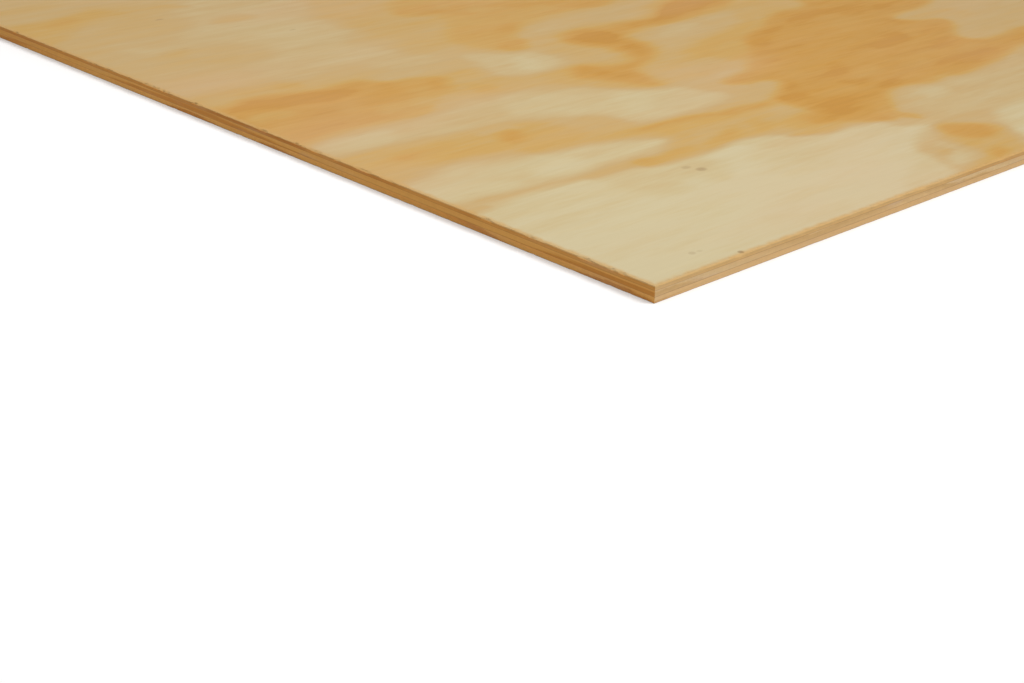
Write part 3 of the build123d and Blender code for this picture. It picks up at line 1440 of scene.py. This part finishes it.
@dataclass
class Veneer:
    """One ply of the sheet, as a closed mesh with the relief of its sawn edges.

    Attributes:
        node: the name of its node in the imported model.
        grain: the way its fibres run.
        outside: which of its broad sides is in the open.
        peeled: the log that it was peeled from.
        outline: the sheet's outline.
        finishes: a finish for each cut that it shows.
        figure: a figure that its growth follows round the near corner, if it has one.
        grid_steps: from point to point of its open side, near the corner and far from it.
        ease: how far its arrises are broken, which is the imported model's.
        rim: how far in from the edge its open side's first ring of points is.
        ripple: how far the glue lines leave their level.
        ripple_length: how long their waves are.
        long_grain_chips: how large its chips are along the fibres, next to those across them.
        middle_heights: how high its middle rings of points are, from 0 to 1.
        sharp: the least angle between two faces that shows as an edge.
    """

    node: str
    grain: Grain
    outside: Outside
    peeled: PeeledLog
    outline: Outline
    finishes: dict[Cut, Finish]
    figure: CornerFigure | None = None
    grid_steps: Point = (20.0 * MM, 26.0 * MM)
    ease: float = 0.25 * MM
    rim: float = 1.3 * MM
    ripple: float = 0.09 * MM
    ripple_length: float = 0.045
    long_grain_chips: float = 0.45
    middle_heights: Point = (0.3, 0.62)
    sharp: float = math.radians(35.0)
    z_low: float = field(init=False)
    z_high: float = field(init=False)
    shell: Shell = field(init=False, default_factory=Shell)

    def __post_init__(self) -> None:
        """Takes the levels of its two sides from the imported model."""
        low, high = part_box(self.node)
        self.z_low, self.z_high = low.z, high.z

    def build(self, relief: SawnRelief) -> bpy.types.Object:
        """Builds the piece and puts it in the place of its node.

        Args:
            relief: what carves the sawn edges.

        Returns:
            The finished piece.
        """
        stations = self.outline.stations()
        rows = self._rows()
        rings = [[self._ring_point(row, station) for station in stations] for row in rows]
        for i in range(len(rows) - 1):
            flat = rows[i].inset > 0.0 or rows[i + 1].inset > 0.0
            self._add_band(rings[i], rings[i + 1], stations, flat)
        self._close(rings[0], Outside.UNDERSIDE)
        self._close(rings[-1], Outside.TOP)
        name = self.node + "_figured"
        piece = placed(name, self.shell.mesh(name, *self._growth()))
        relief.carve(piece, {cut: finish.material() for cut, finish in self.finishes.items()})
        piece.data.shade_smooth()
        piece.data.set_sharp_from_angle(angle=self.sharp)
        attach(piece, "root")
        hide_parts(self.node)
        return piece

    def _rows(self) -> list[Row]:
        """The rings of points from the lower side to the upper one.

        Returns:
            The rings. An open side has three: on both sides of its broken arris, and at its rim.
        """
        eased = self.ease / (self.z_high - self.z_low)
        lower = [Row(0.0)]
        middle = [Row(height, chip=(0.25, 0.0)) for height in self.middle_heights]
        upper = [Row(1.0)]
        if self.outside is Outside.UNDERSIDE:
            lower = [
                Row(0.0, inset=self.rim, recess=0.0),
                Row(0.0, inset=self.ease, recess=0.3, chip=(0.15, 0.1)),
                Row(eased, recess=0.8, chip=(0.15, 0.0)),
            ]
        if self.outside is Outside.TOP:
            upper = [
                Row(1.0 - eased, recess=0.8, chip=(0.8, -0.5)),
                Row(1.0, inset=self.ease, recess=0.3, chip=(1.0, -0.35)),
                Row(1.0, inset=self.rim, recess=0.0),
            ]
        return [*lower, *middle, *upper]

    def _ring_point(self, row: Row, station: Station) -> int:
        """Adds one point of a ring, with what the relief does to it.

        Args:
            row: the ring.
            station: where on the outline it is.

        Returns:
            The point's number.
        """
        in_x, in_y = station.inward
        place = self._place(station.x + in_x * row.inset, station.y + in_y * row.inset, row.height)
        torn = 1.0 if self._cut_of(station.side) is Cut.END_GRAIN else self.long_grain_chips
        along, up = row.chip
        recess = (in_x * row.recess, in_y * row.recess, 0.0)
        chip = (in_x * along * torn, in_y * along * torn, up * torn)
        return self.shell.add_point(place, row.height, recess, chip)

    def _place(self, x: float, y: float, height: float) -> Triple:
        """A place at a share of the veneer's height. A glued side ripples.

        Args:
            x: its place along X.
            y: its place along Y.
            height: from 0 at the lower side to 1 at the upper one.

        Returns:
            The place.
        """
        z = self.z_low + (self.z_high - self.z_low) * height
        glued_low = self.outside is not Outside.UNDERSIDE and height == 0.0
        glued_high = self.outside is not Outside.TOP and height == 1.0
        if glued_low or glued_high:
            z += self.ripple * noise.noise((x / self.ripple_length, y / self.ripple_length, z / MM))
        return x, y, z

    def _cut_of(self, side: Side) -> Cut:
        """What the saw left of the veneer along a side of the sheet."""
        across_fibres = side is (Side.SHORT if self.grain is Grain.ALONG else Side.LONG)
        return Cut.END_GRAIN if across_fibres else Cut.LONG_GRAIN

    def _add_band(self, lower: list[int], upper: list[int], stations: list[Station], flat: bool) -> None:
        """Joins two rings of points with faces.

        Args:
            lower: the numbers of the lower ring's points.
            upper: the numbers of the upper ring's.
            stations: the stations that both stand at.
            flat: whether the band lies in a broad side, and isn't sawn.
        """
        count = len(stations)
        for s, station in enumerate(stations):
            after = (s + 1) % count
            side = station.side if any(not part for part in station.inward) else stations[after].side
            cut = Cut.SANDED if flat else self._cut_of(side)
            self.shell.add_face((lower[s], lower[after], upper[after], upper[s]), cut)

    def _close(self, ring: list[int], end: Outside) -> None:
        """Closes one end of the shell, with a grid of points if it is in the open.

        Args:
            ring: the numbers of the points round it.
            end: which end it is, the top or the underside.
        """
        count = len(ring)
        height = 0.0 if end is Outside.UNDERSIDE else 1.0
        is_open = self.outside is end
        border = [Vector(self.shell.points[i][:2]) for i in ring]
        inner = self.outline.grid(*self.grid_steps, margin=2.0 * self.rim) if is_open else []
        edges = [(i, (i + 1) % count) for i in range(count)]
        found = delaunay_2d_cdt(border + [Vector(point) for point in inner], edges, [], 0, SAME_PLACE)
        places, _, faces, sources = found[:4]
        numbers = []
        for place, (source, *_) in zip(places, sources):
            if source < count:
                numbers.append(ring[source])
            else:
                numbers.append(self.shell.add_point(self._place(place.x, place.y, height), height))
        for face in faces:
            corners = [numbers[i] for i in (reversed(face) if end is Outside.UNDERSIDE else face)]
            self.shell.add_face(tuple(corners), Cut.SANDED if is_open else Cut.GLUED)

    def _growth(self) -> tuple[Field, Field]:
        """What the log and the figure give each point.

        Returns:
            The growth in rings, and how deep the late wood's tone is.
        """
        places = np.array(self.shell.points)
        along, across = places[:, 0], places[:, 1]
        if self.grain is Grain.ACROSS:
            along, across = across, along
        rings = self.peeled.rings(along, across)
        vigour = self.peeled.depth(along, across)
        if self.figure:
            corner = [(places[:, axis] - self.outline.low[axis]) / MM for axis in (0, 1)]
            rings = self.figure.laid_into(rings, *corner)
            vigour += (1.0 - vigour) * self.figure.share(*corner)
        depth = (self.z_high if self.outside is Outside.TOP else self.z_low) - places[:, 2]
        return rings + np.abs(depth) / self.peeled.ring, vigour


@dataclass(frozen=True)
class SawnRelief:
    """Carves what the saw and the sander left along the edges, with Geometry Nodes.

    Attributes:
        recess: how deep the saw's unevenness goes.
        chip: how deep the chips along the arrises go.
        chip_length: how long a chip is.
        seed: which unevenness and which chips.
        uneven: the unevenness from fibre to fibre.
        slow: the unevenness over a hand's breadth.
        mean: how deep the saw went on average, as a share of its unevenness.
        chip_edges: the noise at which a chip starts, and at which it is full.
    """

    recess: float = 0.14 * MM
    chip: float = 0.9 * MM
    chip_length: float = 4.0 * MM
    seed: int = 7
    uneven: Swells = Swells((190.0, 190.0, 700.0), 0.0, 3.0, lift=0.7)
    slow: Swells = Swells((6.0, 6.0, 0.0), 3.0, 1.0, lift=0.6)
    mean: float = 0.4
    chip_edges: Point = (0.5, 0.68)

    def carve(self, piece: bpy.types.Object, materials: dict[Cut, bpy.types.Material]) -> None:
        """Carves a piece, gives its cuts their materials, and leaves it a plain mesh.

        Args:
            piece: the veneer.
            materials: the material of each cut that it has.
        """
        tree = self._tree(materials)
        modifier = piece.modifiers.new("sawn relief", "NODES")
        modifier.node_group = tree
        sizes = {
            "Recess": self.recess,
            "Chip Depth": self.chip,
            "Chip Length": self.chip_length,
            "Seed": self.seed,
        }
        for item in tree.interface.items_tree:
            if item.in_out == "INPUT" and item.name in sizes:
                modifier[item.identifier] = sizes[item.name]
        bake_modifiers(piece)

    def _tree(self, materials: dict[Cut, bpy.types.Material]) -> bpy.types.NodeTree:
        """Builds the tree, with a named input for each size.

        Args:
            materials: the material of each cut.

        Returns:
            The tree.
        """
        tree = bpy.data.node_groups.new("sawn relief", "GeometryNodeTree")
        for name, way, kind in (
            ("Geometry", "INPUT", "Geometry"),
            ("Recess", "INPUT", "Float"),
            ("Chip Depth", "INPUT", "Float"),
            ("Chip Length", "INPUT", "Float"),
            ("Seed", "INPUT", "Int"),
            ("Geometry", "OUTPUT", "Geometry"),
        ):
            tree.interface.new_socket(name, in_out=way, socket_type="NodeSocket" + kind)
        bench = NodeBench(tree)
        bench.place = bench.value("GeometryNodeInputPosition")
        given = bench.node("NodeGroupInput")
        geometry, recess, chip, length, bench.seed = (ShaderValue(bench, given.outputs[i]) for i in range(5))
        uneven = bench.noise(self.uneven) * self.uneven.lift + bench.noise(self.slow) * self.slow.lift
        torn = bench.value(
            "ShaderNodeTexNoise",
            {"noise_dimensions": "4D"},
            {"Vector": bench.scaled(bench.place, 1.0 / length), "W": bench.seed, "Scale": 1.0},
        )
        carved = self._moved(bench, geometry, "recess_way", (uneven + self.mean).most(0.0) * recess)
        carved = self._moved(bench, carved, "chip_way", torn.eased(*self.chip_edges) * chip)
        carved = bench.value("GeometryNodeRealizeInstances", None, {"Geometry": carved})
        carried = bench.value("GeometryNodeInputNamedAttribute", {"data_type": "INT"}, {"Name": "cut"})
        for cut, material in materials.items():
            alike = {"data_type": "INT", "operation": "EQUAL"}
            chosen = bench.value("FunctionNodeCompare", alike, {2: carried, 3: cut.value})
            dressed = {"Geometry": carved, "Selection": chosen, "Material": material}
            carved = bench.value("GeometryNodeSetMaterial", None, dressed)
        bench.node("NodeGroupOutput", None, {"Geometry": carved})
        return tree

    @staticmethod
    def _moved(bench: NodeBench, geometry: ShaderValue, way: str, distance: ShaderValue) -> ShaderValue:
        """Moves each point along a way that it carries.

        Args:
            bench: where the nodes go.
            geometry: what is moved.
            way: the name of the way.
            distance: how far each point goes along it.

        Returns:
            The moved geometry.
        """
        named = bench.value("GeometryNodeInputNamedAttribute", {"data_type": "FLOAT_VECTOR"}, {"Name": way})
        sockets = {"Geometry": geometry, "Offset": bench.scaled(named, distance)}
        return bench.value("GeometryNodeSetPosition", None, sockets)


def bake_modifiers(piece: bpy.types.Object) -> None:
    """Makes what a piece's modifiers give its own plain mesh, and removes them.

    Args:
        piece: the piece.
    """
    graph = bpy.context.evaluated_depsgraph_get()
    carved = piece.evaluated_get(graph)
    made = bpy.data.meshes.new_from_object(carved, preserve_all_data_layers=True, depsgraph=graph)
    before = piece.data
    piece.modifiers.clear()
    piece.data = made
    made.name = piece.name
    bpy.data.meshes.remove(before)


# The colours of the sawn edges, from early wood to late wood.
FACE_END: Tones = ((0.0, (208, 148, 72)), (0.5, (201, 138, 62)), (1.0, (187, 121, 50)))
FACE_LONG: Tones = ((0.0, (205, 168, 111)), (0.5, (201, 159, 99)), (1.0, (192, 144, 82)))
CORE_END: Tones = ((0.0, (208, 177, 129)), (0.5, (206, 170, 118)), (1.0, (197, 160, 106)))
CORE_LONG: Tones = ((0.0, (217, 160, 80)), (0.5, (211, 150, 69)), (1.0, (197, 131, 56)))
# The back's end grain is painted lighter than the face's: painted light from below, which makes up for the
# floor's shade along the sheet's foot.
BACK_END_WITH_PAINTED_LIGHT: Tones = ((0.0, (227, 167, 87)), (0.5, (220, 156, 76)), (1.0, (205, 136, 61)))
BACK_LONG: Tones = ((0.0, (211, 174, 122)), (0.5, (208, 167, 112)), (1.0, (199, 152, 94)))


@dataclass
class PlywoodSheet:
    """The sheet: a face, a core laid across it, and a back."""

    face_node: str = "face_veneer"
    core_node: str = "core_veneer"
    back_node: str = "back_veneer"
    face_marks: tuple[Mark, ...] = (
        Mark(96.9 * MM, 72.8 * MM, 4.6 * MM, 3.0 * MM, 0.22),
        Mark(99.8 * MM, 67.6 * MM, 4.8 * MM, 4.0 * MM, 0.34),
        Mark(31.2 * MM, 11.9 * MM, 3.0 * MM, 2.6 * MM, 0.2),
        Mark(34.6 * MM, 11.6 * MM, 2.6 * MM, 1.8 * MM, 0.12),
        Mark(44.6 * MM, 2.0 * MM, 2.4 * MM, 2.3 * MM, 0.55),
        Mark(105.0 * MM, 333.0 * MM, 4.0 * MM, 1.8 * MM, 0.2),
        Mark(66.0 * MM, 389.0 * MM, 5.0 * MM, 2.2 * MM, 0.25),
    )

    outline: Outline = field(init=False)

    def __post_init__(self) -> None:
        """Takes the sheet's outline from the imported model."""
        low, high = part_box(self.face_node)
        self.outline = Outline((low.x, low.y), (high.x, high.y))

    def build(self) -> list[bpy.types.Object]:
        """Builds the three veneers, and returns them from the top down."""
        relief = SawnRelief()
        return [veneer.build(relief) for veneer in (self.face(), self.core(), self.back())]

    def face(self) -> Veneer:
        """The good side, whose figure is drawn round the near corner.

        Returns:
            The veneer, not yet built.
        """
        glued = (True, False)
        low, high = self.outline.low, self.outline.high
        finishes = {
            Cut.SANDED: SandedFinish("sanded_face", 11.0, low, high, self.face_marks),
            Cut.GLUED: GlueFinish("glued_face", 12.0),
            Cut.END_GRAIN: SawnFinish("face_end_grain", 13.0, FACE_END, glued, outer=True),
            Cut.LONG_GRAIN: SawnFinish("face_long_grain", 14.0, FACE_LONG, glued, outer=True, strands=FIBRES),
        }
        return Veneer(
            self.face_node,
            Grain.ALONG,
            Outside.TOP,
            PeeledLog(seed=12.0),
            self.outline,
            finishes,
            figure=CornerFigure(),
            grid_steps=(3.0 * MM, 13.0 * MM),
        )

    def core(self) -> Veneer:
        """The middle, whose fibres run across the sheet.

        Returns:
            The veneer, not yet built.
        """
        glued = (True, True)
        finishes = {
            Cut.GLUED: GlueFinish("glued_core", 22.0),
            Cut.END_GRAIN: SawnFinish("core_end_grain", 23.0, CORE_END, glued, flecks=0.75),
            Cut.LONG_GRAIN: SawnFinish("core_long_grain", 24.0, CORE_LONG, glued, strands=FIBRES),
        }
        peeled = PeeledLog(seed=17.0)
        return Veneer(self.core_node, Grain.ACROSS, Outside.NEITHER, peeled, self.outline, finishes)

    def back(self) -> Veneer:
        """The lower side, which is as plain as the face.

        Returns:
            The veneer, not yet built.
        """
        glued = (False, True)
        finishes = {
            Cut.SANDED: SandedFinish("sanded_back", 31.0, self.outline.low, self.outline.high),
            Cut.GLUED: GlueFinish("glued_back", 32.0),
            # Its end grain is painted lighter, and its glue line fainter, as painted light from below.
            Cut.END_GRAIN: SawnFinish("back_end_grain", 33.0, BACK_END_WITH_PAINTED_LIGHT, glued, glue_shows=0.3),
            Cut.LONG_GRAIN: SawnFinish("back_long_grain", 34.0, BACK_LONG, glued, strands=FIBRES),
        }
        peeled = PeeledLog(seed=29.0)
        return Veneer(self.back_node, Grain.ALONG, Outside.UNDERSIDE, peeled, self.outline, finishes)


@dataclass(frozen=True)
class Studio:
    """The pale floor, the soft light and the camera.

    Attributes:
        near_corner: the sheet's near top corner, which the camera and the glow are placed from.
        floor_seen: how light the floor is to the camera.
        floor_bounce: how light it is to the sheet.
        floor_glow: how much of it is plain white to the camera, whatever light falls on it.
        sky: how much light comes from all round.
        key: the broad lamp's strength.
        key_width: how wide it is in the sky, in degrees.
        key_way: the way its light goes.
        glow: the strength of the lamp over the near corner.
        glow_place: where it is, from that corner.
        eye: the camera's place, from that corner.
        heading: the way it looks, in degrees from +X towards +Y.
        dip: how far down it looks, in degrees.
        lens: its focal length in millimetres.
        sensor: the width of its sensor in millimetres.
        nearest: how close to it things are seen.
    """

    near_corner: Vector
    floor_size: float = 80.0
    floor_seen: float = 0.99
    floor_bounce: float = 0.72
    floor_glow: float = 0.3
    sky: float = 0.463
    key: float = 1.85
    key_width: float = 24.0
    key_colour: Colour = (1.0, 0.99, 0.98)
    key_way: Triple = (-0.42, 0.50, -0.86)
    glow: float = 0.47
    glow_size: float = 0.3
    glow_place: Triple = (0.07, 0.07, 0.42)
    eye: Triple = (-0.3878, -0.3390, 0.2125)
    heading: float = 46.2
    dip: float = 24.41
    roll: float = 1.36
    lens: float = 61.2
    sensor: float = 36.0
    nearest: float = 0.01

    def set_up(self) -> None:
        """Makes everything round the sheet."""
        bpy.context.scene.view_settings.view_transform = "Standard"
        self._floor()
        self._world()
        self._lamps()
        self._camera()

    def _floor(self) -> None:
        """The floor, which keeps the sheet's shadow."""
        mesh = bpy.data.meshes.new("floor")
        half = self.floor_size / 2.0
        square = [(-half, -half, 0.0), (half, -half, 0.0), (half, half, 0.0), (-half, half, 0.0)]
        mesh.from_pydata(square, [], [(0, 1, 2, 3)])
        floor = placed("floor", mesh)
        floor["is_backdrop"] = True
        made = bpy.data.materials.new("pale_floor")
        made.use_nodes = True
        bench = NodeBench(made.node_tree)
        seen = self._shown_white(bench)
        grey = seen * (self.floor_seen - self.floor_bounce) + self.floor_bounce
        lit = bench.value("ShaderNodeBsdfDiffuse", None, {"Color": grey})
        glow = bench.value("ShaderNodeEmission", None, {"Strength": 1.0})
        paper = bench.value("ShaderNodeMixShader", None, {0: seen * self.floor_glow, 1: lit, 2: glow})
        bench.node("ShaderNodeOutputMaterial", None, {"Surface": paper})
        mesh.materials.append(made)

    def _world(self) -> None:
        """Soft light from all round, in front of a white backdrop."""
        world = bpy.data.worlds.new("studio")
        bpy.context.scene.world = world
        world.use_nodes = True
        bench = NodeBench(world.node_tree)
        light, backdrop = (
            bench.value("ShaderNodeBackground", None, {"Color": (1.0, 1.0, 1.0, 1.0), "Strength": strength})
            for strength in (self.sky, 1.0)
        )
        both = bench.value("ShaderNodeMixShader", None, {0: self._shown_white(bench), 1: light, 2: backdrop})
        bench.node("ShaderNodeOutputWorld", None, {"Surface": both})

    @staticmethod
    def _shown_white(bench: NodeBench) -> ShaderValue:
        """Tells what the camera sees from the light that falls on the sheet.

        Args:
            bench: where the nodes go.

        Returns:
            1 for what the camera sees, straight or in gloss or glass, and 0 for the rest.
        """
        rays = bench.node("ShaderNodeLightPath")
        names = ("Is Camera Ray", "Is Glossy Ray", "Is Transmission Ray")
        camera, glossy, through = (ShaderValue(bench, rays.outputs[name]) for name in names)
        return camera.most(glossy).most(through)

    def _lamps(self) -> None:
        """A broad key, high on the camera's right, and a faint glow over the near corner."""
        key = bpy.data.lights.new("key", "SUN")
        key.energy = self.key
        key.angle = math.radians(self.key_width)
        key.color = self.key_colour
        lamp = placed("key", key)
        lamp.rotation_mode = "QUATERNION"
        lamp.rotation_quaternion = Vector(self.key_way).to_track_quat("-Z", "Y")
        glow = bpy.data.lights.new("glow", "AREA")
        glow.energy = self.glow
        glow.size = self.glow_size
        lamp = placed("glow", glow)
        lamp.location = self.near_corner + Vector(self.glow_place)
        lamp.visible_camera = False

    def _camera(self) -> None:
        """The camera, close over the near corner."""
        camera = placed("camera", bpy.data.cameras.new("camera"))
        camera.data.lens = self.lens
        camera.data.sensor_width = self.sensor
        camera.data.clip_start = self.nearest
        heading, dip = math.radians(self.heading), math.radians(self.dip)
        gaze = Vector((math.cos(heading) * math.cos(dip), math.sin(heading) * math.cos(dip), -math.sin(dip)))
        turn = Quaternion((0.0, 0.0, 1.0), math.radians(self.roll))
        camera.location = self.near_corner + Vector(self.eye)
        camera.rotation_mode = "QUATERNION"
        camera.rotation_quaternion = gaze.to_track_quat("-Z", "Y") @ turn
        bpy.context.scene.camera = camera


def corners(box: tuple[Vector, Vector]) -> list[list[float]]:
    """A box's two corners as plain lists."""
    return [list(corner) for corner in box]


def main() -> None:
    """Builds the sheet and the studio round it."""
    logging.basicConfig(level=logging.INFO, format="%(name)s: %(message)s")
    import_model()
    cad_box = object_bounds()
    for piece in PlywoodSheet().build():
        log.info("%s: %d points, %d faces", piece.name, len(piece.data.vertices), len(piece.data.polygons))
    low, high = cad_box
    Studio(Vector((low.x, low.y, high.z))).set_up()


if __name__ == "__main__":
    main()
